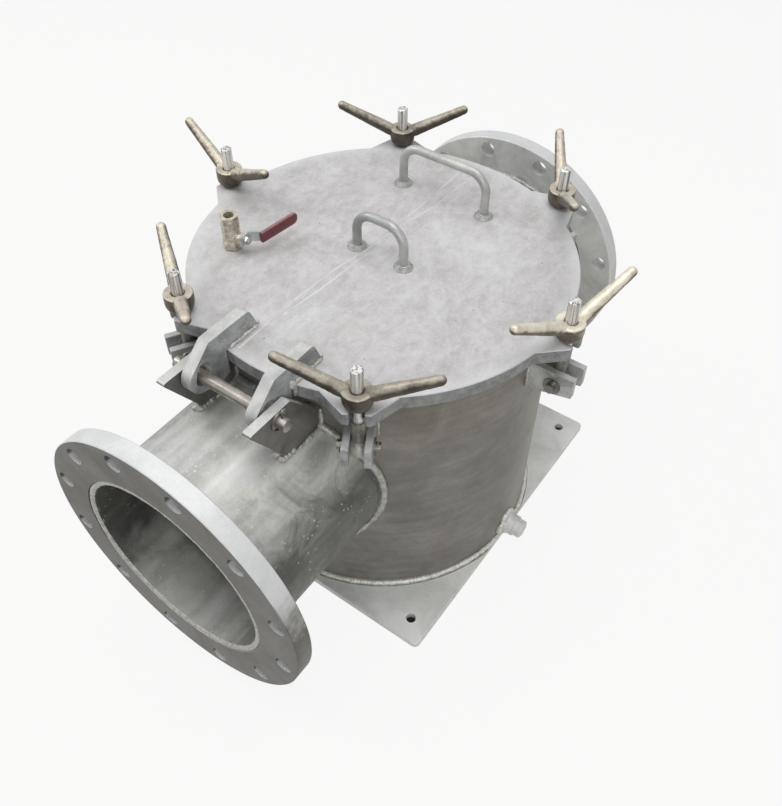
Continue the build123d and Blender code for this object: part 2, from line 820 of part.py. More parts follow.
def build():
    os.makedirs("parts", exist_ok=True)

    save("base_plate", make_base_plate())
    save("body_shell", make_body_shell())
    save("rim_ring", ring(rim_radius, rim_bore, shell_top, body_height))
    save("lid_gasket", ring(rim_radius - gasket_inset, rim_bore + gasket_inset, body_height, gasket_top))
    save("inlet_pipe", make_nozzle(inlet_face))
    save("outlet_pipe", make_nozzle(outlet_face))
    save("inlet_flange", make_flange(inlet_face))
    save("outlet_flange", make_flange(outlet_face))

    save("lid_plate", make_lid_plate())
    save("lid_handle_small", make_handle(small_handle_x, 0, small_handle_span, small_handle_height))
    save(
        "lid_handle_large",
        make_handle(large_handle_x, large_handle_y, large_handle_span, large_handle_height),
    )

    left_arm, right_arm = both_sides(make_hinge_arm())
    left_lug, right_lug = both_sides(make_hinge_lug())
    save("hinge_arm_left", left_arm)
    save("hinge_arm_right", right_arm)
    save("hinge_lug_left", left_lug)
    save("hinge_lug_right", right_lug)
    save("hinge_pin", make_hinge_pin())
    save("hinge_washers", *both_sides(make_hinge_washer()))
    hinge_split_pin = make_split_pin(hinge_x, hinge_split_y, hinge_z, hinge_pin_radius)
    save("hinge_split_pins", *both_sides(hinge_split_pin))

    dog_split_pin = make_split_pin(bolt_circle, dog_split_y, bolt_pin_z, bolt_pin_radius)
    for name, piece in (
        ("dog_lugs", make_dog_lug()),
        ("dog_washers", make_dog_washer()),
        ("dog_split_pins", dog_split_pin),
    ):
        pair = both_sides(piece)
        save(name, *[copy for half in pair for copy in around(half, bolt_azimuths)])
    save("dog_pins", *around(make_dog_pin(), bolt_azimuths))

    for i, azimuth in enumerate(bolt_azimuths):
        wing_angle = wing_angles[i % len(wing_angles)] - azimuth
        save(f"swing_bolt_{i + 1}", Rot(0, 0, azimuth) * make_swing_bolt())
        save(f"wing_nut_{i + 1}", Rot(0, 0, azimuth) * make_wing_nut(wing_angle))

    save("valve_nipple", make_nipple())
    save("valve_body", make_valve_body())
    save("valve_end", make_valve_end())
    save("valve_seats", make_seat(-1), make_seat(1))
    save("valve_ball", make_ball())
    save("valve_stem", make_stem())
    save("valve_gland_nut", make_gland_nut())
    save("valve_lever", make_lever())
    save("valve_grip", make_grip())
    save("valve_lever_nut", make_lever_nut())

    save("drain_boss", make_drain_boss())
    save("drain_plug", make_drain_plug())

    save("basket_shell", make_basket_shell())
    save("basket_rim", make_basket_rim())
    save("basket_floor", make_basket_floor())
    save("basket_bail", make_basket_bail())
    save("basket_seat", make_basket_seat())
    save("basket_guides", *both_sides(make_guide()))


build()
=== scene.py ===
import bpy
import bmesh
import math
from mathutils import Matrix, Vector, noise


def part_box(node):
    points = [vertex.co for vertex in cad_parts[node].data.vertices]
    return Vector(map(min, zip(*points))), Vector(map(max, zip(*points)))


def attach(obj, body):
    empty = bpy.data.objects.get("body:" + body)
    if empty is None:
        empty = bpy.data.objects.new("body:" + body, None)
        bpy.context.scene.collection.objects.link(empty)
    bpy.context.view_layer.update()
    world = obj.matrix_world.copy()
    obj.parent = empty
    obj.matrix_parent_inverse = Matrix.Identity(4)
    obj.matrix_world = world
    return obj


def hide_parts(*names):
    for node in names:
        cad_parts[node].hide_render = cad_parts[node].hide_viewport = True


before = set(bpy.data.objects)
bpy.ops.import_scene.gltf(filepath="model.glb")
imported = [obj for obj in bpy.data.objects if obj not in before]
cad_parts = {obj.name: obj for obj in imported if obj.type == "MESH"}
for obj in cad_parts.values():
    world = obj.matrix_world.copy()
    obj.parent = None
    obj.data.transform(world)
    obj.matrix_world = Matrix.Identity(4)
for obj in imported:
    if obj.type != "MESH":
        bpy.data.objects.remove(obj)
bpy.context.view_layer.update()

# Boxes of the pieces that others are set against, in metres
lid_low, lid_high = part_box("lid_plate")
plate_low, plate_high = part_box("base_plate")
inlet_low, inlet_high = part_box("inlet_flange")
_, outlet_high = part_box("outlet_flange")
arm_low, arm_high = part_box("hinge_arm_left")
lug_low, lug_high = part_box("hinge_lug_left")
bolt_low, bolt_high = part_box("swing_bolt_2")

# Sizes of the part
MM = 0.001
X, Y, Z = Vector((1, 0, 0)), Vector((0, 1, 0)), Vector((0, 0, 1))
SHELL_RADIUS = 228.6 * MM
NOZZLE_RADIUS = 133.7 * MM
NOZZLE_BORE = 127.1 * MM
NOZZLE_Z = (inlet_low.z + inlet_high.z) / 2
FLANGE_THICKNESS = inlet_high.x - inlet_low.x
LID_TOP = lid_high.z
LID_RADIUS = lid_high.x
BOLT_CIRCLE = (bolt_low.y + bolt_high.y) / 2
STUD_RADIUS = 7 * MM
STUD_TOP = bolt_high.z
EYE_HEIGHT = 25 * MM
EYE_TOP = bolt_low.z + EYE_HEIGHT
VALVE_RISE = 21 * MM
VALVE_Z = LID_TOP + VALVE_RISE
NUT_PLAY = 1.4 * MM
NUT_HEIGHT = 24.6 * MM
NUT_BOTTOM = LID_TOP + NUT_PLAY
NUT_TOP = NUT_BOTTOM + NUT_HEIGHT

# Swing bolts in order: place on the circle and direction of the wings in degrees, and the nut's tone
BOLT_ANGLES = [30, 90, 150, 210, 270, 330]
NUT_TONES = ["cast_dark", "cast", "cast", "cast_dark", "cast_pale", "cast"]
WING_ANGLES = [122, 78, 54.5, 115, 160, 34]


# Camera, at the photograph's viewpoint

CAMERA_PLACE = Vector((-0.6991, -0.5072, 1.1046))
CAMERA_AZIMUTH = math.radians(-54.816)
CAMERA_ELEVATION = math.radians(47.922)
CAMERA_ROLL = math.radians(0.676)
CAMERA_LENS = 37.86
SENSOR_WIDTH = 36
CLIP_RANGE = (0.05, 50)


def make_camera():
    across = Vector((math.cos(CAMERA_AZIMUTH), math.sin(CAMERA_AZIMUTH), 0))
    back = Vector((
        math.sin(CAMERA_AZIMUTH) * math.cos(CAMERA_ELEVATION),
        -math.cos(CAMERA_AZIMUTH) * math.cos(CAMERA_ELEVATION),
        math.sin(CAMERA_ELEVATION),
    ))
    up = back.cross(across)
    right = math.cos(CAMERA_ROLL) * across + math.sin(CAMERA_ROLL) * up
    top = back.cross(right)
    data = bpy.data.cameras.new("camera")
    data.lens = CAMERA_LENS
    data.sensor_width = SENSOR_WIDTH
    data.clip_start, data.clip_end = CLIP_RANGE
    camera = bpy.data.objects.new("camera", data)
    turn = Matrix((right, top, back)).transposed().to_4x4()
    camera.matrix_world = Matrix.Translation(CAMERA_PLACE) @ turn
    bpy.context.scene.collection.objects.link(camera)
    bpy.context.scene.camera = camera


# Shader building

NOISE_RANGE = (0.3, 0.7)
RAGGED_EDGE = 0.8
BORE_SHADE = ((0.332, 1.0), (0.35, 0.2))  # distance from the vessel's axis in metres, share of shade


class Shader:
    """Node tree of one material, with short calls for the nodes used here."""

    def __init__(self, name):
        self.material = bpy.data.materials.new(name)
        self.material.use_nodes = True
        self.tree = self.material.node_tree
        self.surface = self.tree.nodes["Principled BSDF"]
        where = self.add("ShaderNodeTexCoord")
        self.place = where.outputs["Object"]
        self.normal = where.outputs["Normal"]

    def add(self, kind, **settings):
        node = self.tree.nodes.new(kind)
        for key, value in settings.items():
            setattr(node, key, value)
        return node

    def feed(self, socket, value):
        if isinstance(value, bpy.types.NodeSocket):
            self.tree.links.new(value, socket)
        else:
            socket.default_value = value

    def set(self, **values):
        for key, value in values.items():
            self.feed(self.surface.inputs[key.replace("_", " ")], value)

    def stretched(self, x, y, z):
        """The place, scaled along each axis."""
        node = self.add("ShaderNodeMapping")
        self.feed(node.inputs["Vector"], self.place)
        node.inputs["Scale"].default_value = (x, y, z)
        return node.outputs["Vector"]

    def parts(self, vector):
        """The X, Y and Z of a vector."""
        node = self.add("ShaderNodeSeparateXYZ")
        self.feed(node.inputs[0], vector)
        return node.outputs

    def grey(self, colour):
        node = self.add("ShaderNodeRGBToBW")
        self.feed(node.inputs[0], colour)
        return node.outputs[0]

    def noise(self, scale, detail=4, roughness=0.5, distortion=0, where=None):
        node = self.add("ShaderNodeTexNoise")
        self.feed(node.inputs["Vector"], where or self.place)
        node.inputs["Scale"].default_value = scale
        node.inputs["Detail"].default_value = detail
        node.inputs["Roughness"].default_value = roughness
        node.inputs["Distortion"].default_value = distortion
        return node.outputs["Fac"]

    def cells(self, scale, output="Distance"):
        node = self.add("ShaderNodeTexVoronoi")
        self.feed(node.inputs["Vector"], self.place)
        node.inputs["Scale"].default_value = scale
        return node.outputs[output]

    def ramp(self, value, *stops):
        node = self.add("ShaderNodeValToRGB")
        self.feed(node.inputs["Fac"], value)
        marks = node.color_ramp.elements
        while len(marks) < len(stops):
            marks.new(0.5)
        for mark, (place, colour) in zip(marks, stops):
            mark.position = place
            mark.color = (*colour, 1) if isinstance(colour, tuple) else (colour, colour, colour, 1)
        return node.outputs["Color"]

    def mix(self, share, first, second, blend="MIX"):
        node = self.add("ShaderNodeMix", data_type="RGBA", blend_type=blend)
        self.feed(node.inputs["Factor"], share)
        for socket, value in ((node.inputs[6], first), (node.inputs[7], second)):
            self.feed(socket, (*value, 1) if isinstance(value, tuple) else value)
        return node.outputs[2]

    def overlay(self, share, base, pattern):
        return self.mix(share, base, pattern, "OVERLAY")

    def sum(self, first, second, operation="ADD"):
        """Any sum of two values that the Math node knows."""
        node = self.add("ShaderNodeMath", operation=operation)
        self.feed(node.inputs[0], first)
        self.feed(node.inputs[1], second)
        return node.outputs[0]

    def up_share(self, low, high, ragged=None):
        """Zero on sides, one on surfaces that face up, with a ragged change between."""
        value = self.parts(self.normal)["Z"]
        if ragged is not None:
            shift = self.sum(self.sum(ragged, 0.5, "SUBTRACT"), RAGGED_EDGE, "MULTIPLY")
            value = self.sum(value, shift)
        return self.ramp(value, (low, 0.0), (high, 1.0))

    def squares(self, first, second):
        return self.sum(self.sum(first, first, "MULTIPLY"), self.sum(second, second, "MULTIPLY"))

    def in_bore(self):
        """Share of painted shade: one inside the nozzles, a fifth at their mouths, zero outside."""
        parts = self.parts(self.place)
        off = self.squares(parts["Y"], self.sum(parts["Z"], NOZZLE_Z, "SUBTRACT"))
        wall = self.sum(off, (NOZZLE_BORE + 2 * MM) ** 2, "LESS_THAN")
        far = self.sum(parts["X"], 0, "ABSOLUTE")
        return self.sum(wall, self.ramp(far, *BORE_SHADE), "MULTIPLY")

    def from_axis(self):
        """Distance from the vessel's axis."""
        parts = self.parts(self.place)
        return self.sum(self.squares(parts["X"], parts["Y"]), 0.5, "POWER")

    def height(self):
        return self.parts(self.place)["Z"]

    def spread(self, value, low, high):
        """A noise's usual range, spread from low to high."""
        node = self.add("ShaderNodeMapRange")
        self.feed(node.inputs["Value"], value)
        node.inputs["From Min"].default_value, node.inputs["From Max"].default_value = NOISE_RANGE
        node.inputs["To Min"].default_value = low
        node.inputs["To Max"].default_value = high
        return node.outputs["Result"]

    def bump(self, height, strength, distance):
        """Adds a relief to those that the surface already has."""
        node = self.add("ShaderNodeBump")
        self.feed(node.inputs["Height"], height)
        node.inputs["Strength"].default_value = strength
        node.inputs["Distance"].default_value = distance
        old = self.surface.inputs["Normal"]
        if old.is_linked:
            self.feed(node.inputs["Normal"], old.links[0].from_socket)
        self.feed(old, node.outputs["Normal"])


# Materials


def galvanised(name, dark, light, metallic=0.3, rough=(0.36, 0.58), grain=(3.2, 38, 38),
               streaks=0.35, bumps=0.3, flecks=0.0, top=None, scale=11, bore=None, edge=(0.2, 0.5),
               reflection_stripe_share=0.0):
    """Hot-dip zinc: clouds, crystals, runs along one direction, pimples, flecks; upper sides painted
    pale as a highlight, optional painted reflection stripes and painted shade inside the nozzles.
    """
    s = Shader(name)
    clouds = s.noise(scale, 7, 0.68, 0.8)
    base = s.ramp(clouds, (0.36, dark), (0.62, light))
    # Painted highlight: upward faces painted paler, as where light falls from above
    if top:
        pale = s.ramp(clouds, (0.3, tuple(0.84 * c for c in top)), (0.6, top))
        base = s.mix(s.up_share(*edge, clouds), base, pale)
    crystals = s.grey(s.cells(75, "Color"))
    base = s.overlay(0.2, base, s.ramp(crystals, (0.2, 0.38), (0.8, 0.62)))
    runs = s.noise(1, 5, 0.65, 0.4, s.stretched(*grain))
    base = s.overlay(streaks, base, s.ramp(runs, (0.3, 0.32), (0.7, 0.66)))
    # Painted reflections: long light and dark stripes along the pipe
    if reflection_stripe_share:
        reflection_stripe_noise = s.noise(1, 3, 0.55, 0.3, s.stretched(1.6, 19, 19))
        base = s.overlay(reflection_stripe_share, base, s.ramp(reflection_stripe_noise, (0.36, 0.25), (0.5, 0.44), (0.62, 0.7)))
    specks = s.noise(420, 3, 0.6)
    base = s.overlay(0.14, base, s.ramp(specks, (0.35, 0.3), (0.65, 0.7)))
    tint = s.ramp(s.noise(5, 3, 0.5, 0.8), (0.35, (0.47, 0.5, 0.53)), (0.65, (0.53, 0.51, 0.46)))
    base = s.overlay(0.3, base, tint)
    if flecks:
        dots = s.ramp(s.cells(150), (0.12, flecks), (0.24, 0.0))
        chosen = s.ramp(s.noise(23, 4, 0.6), (0.5, 0.0), (0.58, 1.0))
        base = s.mix(s.sum(dots, chosen, "MULTIPLY"), base, (0.82, 0.83, 0.8))
    # Painted shade inside the nozzles, darkest away from their mouths
    if bore:
        shade = s.ramp(clouds, (0.36, bore), (0.62, tuple(1.7 * c for c in bore)))
        base = s.mix(s.in_bore(), base, shade)
    s.set(Base_Color=base, Metallic=metallic, Roughness=s.spread(runs, *rough))
    s.bump(specks, bumps, 0.25 * MM)
    s.bump(s.noise(60, 4, 0.6), bumps, 0.9 * MM)
    return s.material


def lid_zinc():
    """Lid: pale, faintly pink zinc with blotches, smears, stains, spots, a painted highlight along the
    rim and painted shade on its sides.
    """
    s = Shader("zinc_lid")
    clouds = s.noise(8, 8, 0.7, 1.0)
    base = s.ramp(
        clouds, (0.34, (0.47, 0.45, 0.45)), (0.52, (0.555, 0.54, 0.54)), (0.66, (0.64, 0.635, 0.63))
    )
    fine = s.noise(70, 7, 0.75)
    base = s.overlay(0.4, base, s.ramp(fine, (0.36, 0.36), (0.64, 0.62)))
    grain = s.noise(300, 4, 0.75)
    base = s.overlay(0.3, base, s.ramp(grain, (0.36, 0.36), (0.64, 0.62)))
    smears = s.noise(1, 6, 0.72, 1.5, s.stretched(12, 30, 12))
    base = s.overlay(0.35, base, s.ramp(smears, (0.42, 0.44), (0.62, 0.64)))
    stains = s.ramp(s.noise(7, 5, 0.6, 0.5), (0.58, 0.0), (0.7, 0.4))
    base = s.mix(stains, base, (0.43, 0.41, 0.385))
    spots = s.ramp(s.cells(33), (0.03, 0.75), (0.05, 0.0))
    base = s.mix(spots, base, (0.25, 0.24, 0.23))
    # Painted highlight: a pale band round the top near the rim
    rim = s.ramp(s.from_axis(), (LID_RADIUS - 22 * MM, 0.0), (LID_RADIUS - 3 * MM, 0.55))
    base = s.mix(rim, base, (0.70, 0.71, 0.705))
    # Painted shade: darker blue-grey colour on the lid's sides
    side = s.ramp(fine, (0.36, (0.19, 0.20, 0.20)), (0.64, (0.40, 0.41, 0.405)))
    base = s.mix(s.up_share(0.3, 0.7), side, base)
    s.set(Base_Color=base, Metallic=0.08, Roughness=s.spread(clouds, 0.5, 0.66))
    s.bump(s.noise(420, 3, 0.6), 0.3, 0.25 * MM)
    s.bump(fine, 0.25, 0.6 * MM)
    return s.material


def weld_metal(name, dark, light):
    """Weld bead under zinc, rougher than the plates."""
    s = Shader(name)
    lumps = s.noise(190, 4, 0.65)
    base = s.ramp(lumps, (0.32, dark), (0.6, light))
    s.set(Base_Color=base, Metallic=0.25, Roughness=s.spread(lumps, 0.32, 0.52))
    s.bump(s.noise(380, 4, 0.6), 0.5, 0.5 * MM)
    return s.material


# Tops of the castings: wear and painted highlight; sides and undersides: grime and painted shade
WORN_AND_LIT_COLOURS = ((0.42, 0.37, 0.295), (0.62, 0.565, 0.465))
GRIME_AND_SHADE_COLOURS = ((0.055, 0.044, 0.031), (0.15, 0.125, 0.092))
PALE_LIMIT = 0.78


def cast_metal(name, tone, edge=(0.3, 0.75)):
    """Wing nut casting: rubbed pale with a painted highlight on top, dark brown with grime and painted
    shade on its sides, with casting grain.
    """
    s = Shader(name)
    clouds = s.noise(55, 5, 0.6, 0.4)
    low, high = (tuple(min(PALE_LIMIT, tone * c) for c in colour) for colour in WORN_AND_LIT_COLOURS)
    worn_and_lit = s.ramp(clouds, (0.34, low), (0.6, high))
    low, high = (tuple(tone * c for c in colour) for colour in GRIME_AND_SHADE_COLOURS)
    grime_and_shade = s.ramp(clouds, (0.36, low), (0.66, high))
    # Mixed by facing: painted highlight on upward faces, painted shade on sides and undersides
    base = s.mix(s.up_share(*edge, clouds), grime_and_shade, worn_and_lit)
    grime = s.noise(260, 5, 0.7)
    base = s.overlay(0.35, base, s.ramp(grime, (0.36, 0.3), (0.6, 0.62)))
    s.set(Base_Color=base, Metallic=0.3, Roughness=s.spread(clouds, 0.34, 0.5))
    s.bump(grime, 0.4, 0.35 * MM)
    s.bump(s.noise(90, 3, 0.5), 0.3, 0.8 * MM)
    return s.material


def bright_steel(name, dark, light, rough=(0.16, 0.32), grain=(900, 900, 60), metallic=0.9):
    """Machined or drawn steel with fine lines along one direction."""
    s = Shader(name)
    lines = s.noise(1, 4, 0.7, 0, s.stretched(*grain))
    stains = s.noise(60, 4, 0.6)
    base = s.ramp(stains, (0.3, dark), (0.7, light))
    base = s.overlay(0.4, base, s.ramp(lines, (0.3, 0.28), (0.7, 0.7)))
    s.set(Base_Color=base, Metallic=metallic, Roughness=s.spread(lines, *rough))
    s.bump(lines, 0.15, 0.1 * MM)
    return s.material


def bolt_steel():
    """Swing bolt: bright thread above with vertical reflections painted in as stripes, dull forged shank
    and eye below the lid.
    """
    s = Shader("stud_steel")
    # Painted reflections: narrow light and dark stripes running up the thread
    lines = s.noise(1, 3, 0.6, 0, s.stretched(330, 330, 9))
    bright = s.ramp(
        lines, (0.38, (0.16, 0.15, 0.14)), (0.49, (0.60, 0.59, 0.565)), (0.7, (0.80, 0.79, 0.77))
    )
    scale = s.noise(120, 4, 0.6)
    shank = s.ramp(scale, (0.3, (0.15, 0.135, 0.115)), (0.7, (0.30, 0.28, 0.25)))
    eye = s.ramp(scale, (0.3, (0.36, 0.35, 0.325)), (0.7, (0.54, 0.53, 0.505)))
    dull = s.mix(s.ramp(s.height(), (EYE_TOP - 2 * MM, 0.0), (EYE_TOP, 1.0)), eye, shank)
    above = s.grey(s.ramp(s.height(), (lid_low.z - 3 * MM, 0.0), (lid_low.z - 2 * MM, 1.0)))
    metal = s.sum(s.sum(above, 0.6, "MULTIPLY"), 0.2)
    s.set(Base_Color=s.mix(above, dull, bright), Metallic=metal, Roughness=s.spread(scale, 0.26, 0.44))
    s.bump(scale, 0.12, 0.1 * MM)
    return s.material


def nickel_brass():
    """Valve body: dull nickel plate, mottled from a dark to a pale warm tone."""
    s = Shader("valve_brass")
    wear = s.noise(170, 4, 0.6)
    base = s.ramp(
        wear, (0.32, (0.36, 0.325, 0.25)), (0.5, (0.56, 0.515, 0.425)), (0.7, (0.78, 0.73, 0.62))
    )
    s.set(Base_Color=base, Metallic=0.65, Roughness=s.spread(wear, 0.18, 0.32))
    s.bump(s.noise(900, 3, 0.6), 0.3, 0.15 * MM)
    return s.material


def red_plastic():
    """Dipped grip: dark red, paler and pinkish along its two edges."""
    s = Shader("red_grip")
    dust = s.noise(210, 5, 0.65)
    base = s.ramp(dust, (0.3, (0.095, 0.011, 0.016)), (0.72, (0.165, 0.028, 0.034)))
    edge = s.sum(s.sum(s.sum(s.height(), VALVE_Z, "SUBTRACT"), 0, "ABSOLUTE"), 100, "MULTIPLY")
    pale_edge_share = s.sum(s.ramp(edge, (0.66, 0.0), (0.8, 0.85)), dust, "MULTIPLY")
    base = s.mix(pale_edge_share, base, (0.55, 0.33, 0.32))
    s.set(Base_Color=base, Roughness=s.spread(dust, 0.3, 0.45), Coat_Weight=0.25, Coat_Roughness=0.3)
    s.bump(s.noise(700, 3, 0.5), 0.25, 0.12 * MM)
    return s.material


def rubber():
    """Gasket: black with a dull bloom."""
    s = Shader("rubber")
    bloom = s.noise(80, 5, 0.6)
    base = s.ramp(bloom, (0.3, (0.012, 0.012, 0.012)), (0.7, (0.03, 0.03, 0.03)))
    s.set(Base_Color=base, Roughness=s.spread(bloom, 0.6, 0.8))
    s.bump(s.noise(600, 3, 0.5), 0.3, 0.1 * MM)
    return s.material


def seat_plastic():
    """White seats of the ball valve."""
    s = Shader("seat_plastic")
    tone = s.noise(90, 3, 0.5)
    s.set(
        Base_Color=s.ramp(tone, (0.3, (0.74, 0.74, 0.72)), (0.7, (0.82, 0.82, 0.8))),
        Roughness=s.spread(tone, 0.35, 0.5),
    )
    return s.material


# Zinc surfaces: colours of the clouds, then what differs from galvanised()'s own values
ZINC = {
    # Shell: darker and browner than the other zinc, as painted shade and a painted warm reflected tint
    "shell": dict(
        dark=(0.17, 0.16, 0.135), light=(0.25, 0.24, 0.21),
        metallic=0.2, rough=(0.4, 0.58), grain=(9, 9, 90), streaks=0.6, bumps=0.25,
    ),
    # Pipe: dark sides with upward faces painted pale as a highlight, painted reflection stripes, painted
    # shade in the bore
    "pipe": dict(
        dark=(0.095, 0.096, 0.086), light=(0.18, 0.181, 0.166), top=(0.575, 0.575, 0.55),
        metallic=0.25, rough=(0.4, 0.58), grain=(6, 46, 46), streaks=0.5, bumps=0.5, flecks=0.6,
        scale=17, bore=(0.032, 0.032, 0.03), edge=(0.35, 0.85), reflection_stripe_share=0.5,
    ),
    "seam": dict(
        dark=(0.56, 0.55, 0.54), light=(0.66, 0.655, 0.65),
        metallic=0.1, rough=(0.4, 0.55), grain=(14, 14, 14), streaks=0.2,
    ),
    # Inlet flange: face darkened as painted shade, the shaded copy of flange_back; upward faces painted
    # pale as a highlight
    "flange": dict(
        dark=(0.105, 0.10, 0.089), light=(0.17, 0.164, 0.15), top=(0.70, 0.71, 0.705),
        metallic=0.2, rough=(0.42, 0.6), grain=(14, 14, 14),
    ),
    # Outlet flange: the same zinc made lighter as painted light on its shaded face; upward faces painted
    # pale as a highlight
    "flange_back": dict(
        dark=(0.56, 0.565, 0.54), light=(0.84, 0.84, 0.815), top=(0.70, 0.705, 0.70),
        metallic=0.1, rough=(0.42, 0.6), grain=(14, 14, 14), streaks=0.25,
    ),
    "plate": dict(
        dark=(0.65, 0.66, 0.635), light=(0.85, 0.86, 0.83),
        metallic=0.15, rough=(0.42, 0.6), grain=(12, 12, 12), streaks=0.25, flecks=0.5,
    ),
    # Hinge lugs: darkened as painted shade; upward faces painted pale as a highlight
    "lug": dict(
        dark=(0.085, 0.08, 0.07), light=(0.20, 0.19, 0.175), top=(0.62, 0.625, 0.61),
        metallic=0.25, rough=(0.36, 0.54), grain=(26, 26, 26), streaks=0.4, scale=15,
    ),
    # Hinge arms and dog lugs: lightened as painted light where they sit in shade; upward faces painted
    # pale as a highlight
    "arm": dict(
        dark=(0.30, 0.31, 0.315), light=(0.60, 0.61, 0.61), top=(0.62, 0.625, 0.61),
        metallic=0.2, rough=(0.36, 0.54), grain=(26, 26, 26), streaks=0.5, flecks=0.5, scale=26,
    ),
    "bar": dict(
        dark=(0.31, 0.315, 0.305), light=(0.50, 0.505, 0.495),
        metallic=0.35, rough=(0.32, 0.48), grain=(30, 30, 30), streaks=0.3, bumps=0.2,
    ),
    # Drain boss and plug: near white as painted light falling from the right
    "plug": dict(
        dark=(0.74, 0.74, 0.73), light=(0.90, 0.90, 0.89),
        metallic=0.1, rough=(0.4, 0.55), grain=(20, 20, 20), streaks=0.25, flecks=0.5, scale=30,
    ),
}

# Steels: colours, then what differs from bright_steel()'s own values
STEELS = {
    "stainless": dict(dark=(0.42, 0.40, 0.37), light=(0.72, 0.69, 0.66), grain=(700, 6, 700)),
    "pivot_steel": dict(
        dark=(0.23, 0.21, 0.185), light=(0.44, 0.415, 0.375),
        rough=(0.22, 0.34), grain=(260, 6, 260), metallic=0.65,
    ),
    "pin_steel": dict(
        dark=(0.11, 0.105, 0.095), light=(0.30, 0.285, 0.26),
        rough=(0.3, 0.45), grain=(400, 400, 400), metallic=0.6,
    ),
    "lever_zinc": dict(
        dark=(0.38, 0.42, 0.43), light=(0.58, 0.62, 0.63),
        rough=(0.3, 0.45), grain=(60, 900, 900), metallic=0.5,
    ),
}


def make_materials():
    materials = {key: galvanised(f"zinc_{key}", **values) for key, values in ZINC.items()}
    materials.update({key: bright_steel(key, **values) for key, values in STEELS.items()})
    materials.update({
        "lid": lid_zinc(),
        "weld": weld_metal("weld_zinc", (0.30, 0.295, 0.27), (0.56, 0.555, 0.525)),
        "weld_bright": weld_metal("weld_bright", (0.52, 0.51, 0.48), (0.84, 0.83, 0.79)),
        "weld_dull": weld_metal("weld_dull", (0.24, 0.24, 0.235), (0.42, 0.42, 0.415)),
        "cast": cast_metal("cast_nut", 1.0),
        "cast_dark": cast_metal("cast_nut_dark", 0.68),
        "cast_pale": cast_metal("cast_nut_pale", 1.3, edge=(0.0, 0.35)),
        "stud": bolt_steel(),
        "brass": nickel_brass(),
        "red": red_plastic(),
        "rubber": rubber(),
        "seat": seat_plastic(),
    })
    return materials


# The nodes that each material dresses
MATERIAL_NODES = {
    "plate": ["base_plate"],
    "shell": ["body_shell", "rim_ring", "basket_seat", "basket_guides"],
    "rubber": ["lid_gasket"],
    "pipe": ["inlet_pipe", "outlet_pipe"],
    "flange": ["inlet_flange"],
    "flange_back": ["outlet_flange"],
    "lid": ["lid_plate"],
    "bar": ["lid_handle_small", "lid_handle_large"],
    "arm": ["hinge_arm_left", "hinge_arm_right", "dog_lugs"],
    "lug": ["hinge_lug_left", "hinge_lug_right"],
    "pivot_steel": ["hinge_pin"],
    "pin_steel": ["hinge_washers", "dog_pins", "dog_washers"],
    "stainless": ["hinge_split_pins", "dog_split_pins", "valve_ball", "valve_stem", "valve_lever_nut",
                  "basket_shell", "basket_rim", "basket_floor", "basket_bail"],
    "brass": ["valve_nipple", "valve_body", "valve_end", "valve_gland_nut"],
    "seat": ["valve_seats"],
    "lever_zinc": ["valve_lever"],
    "red": ["valve_grip"],
    "plug": ["drain_boss", "drain_plug"],
    "stud": [f"swing_bolt_{i + 1}" for i in range(len(BOLT_ANGLES))],
}


def dress_nodes(materials):
    """Gives every CAD node its material."""
    keys = {name: key for key, names in MATERIAL_NODES.items() for name in names}
    keys.update({f"wing_nut_{i + 1}": tone for i, tone in enumerate(NUT_TONES)})
    for name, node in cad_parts.items():
        if not node.material_slots:
            node.data.materials.append(None)
        for slot in node.material_slots:
            slot.link = "OBJECT"
            slot.material = materials[keys[name]]


# Mesh helpers


def make_object(name, vertices, faces, material, body, slot):
    """A smooth piece that rides on a body. Its slot argument is not used."""
    mesh = bpy.data.meshes.new(name)
    mesh.from_pydata([tuple(v) for v in vertices], [], faces)
    mesh.materials.append(material)
    for face in mesh.polygons:
        face.use_smooth = True
    mesh.validate()
    piece = bpy.data.objects.new(name, mesh)
    bpy.context.scene.collection.objects.link(piece)
    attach(piece, body)
    return piece


def turns(count):
    """Angles at even steps round a circle."""
    return [2 * math.pi * k / count for k in range(count)]


def circle(centre, across, up, radius, count):
    """Points round a circle in the plane of two directions."""
    return [centre + radius * (math.cos(a) * across + math.sin(a) * up) for a in turns(count)]


def turned(point, degrees):
    """A point turned about the vessel's axis."""
    return Matrix.Rotation(math.radians(degrees), 3, "Z") @ Vector(point)


def reach(radius, aside):
    """How far a round wall stands from its axis where it is this far aside."""
    return math.sqrt(radius ** 2 - aside ** 2)


def loft(rings, closed=False, caps=True):
    """Vertices and faces that join rings of equal size, with caps on open ends."""
    vertices = [point for ring in rings for point in ring]
    size = len(rings[0])
    faces = []
    for i in range(len(rings) if closed else len(rings) - 1):
        here, there = i * size, (i + 1) % len(rings) * size
        for k in range(size):
            following = (k + 1) % size
            faces.append((here + k, here + following, there + following, there + k))
    if caps and not closed:
        faces.append(tuple(reversed(range(size))))
        last = (len(rings) - 1) * size
        faces.append(tuple(range(last, last + size)))
    return vertices, faces


def joined(forms):
    """Vertices and faces of several forms as one."""
    vertices, faces = [], []
    for form_vertices, form_faces in forms:
        faces += [tuple(i + len(vertices) for i in face) for face in form_faces]
        vertices += form_vertices
    return vertices, faces


def resample(path, step, closed=False):
    """Points at even steps along a path."""
    corners = list(path) + ([path[0]] if closed else [])
    lengths = [0]
    for a, b in zip(corners, corners[1:]):
        lengths.append(lengths[-1] + (b - a).length)
    count = max(3, round(lengths[-1] / step))
    points, leg = [], 0
    for i in range(count if closed else count + 1):
        want = lengths[-1] * i / count
        while leg < len(lengths) - 2 and lengths[leg + 1] < want:
            leg += 1
        share = (want - lengths[leg]) / max(lengths[leg + 1] - lengths[leg], 1e-9)
        points.append(corners[leg].lerp(corners[leg + 1], share))
    return points


# Weld metal

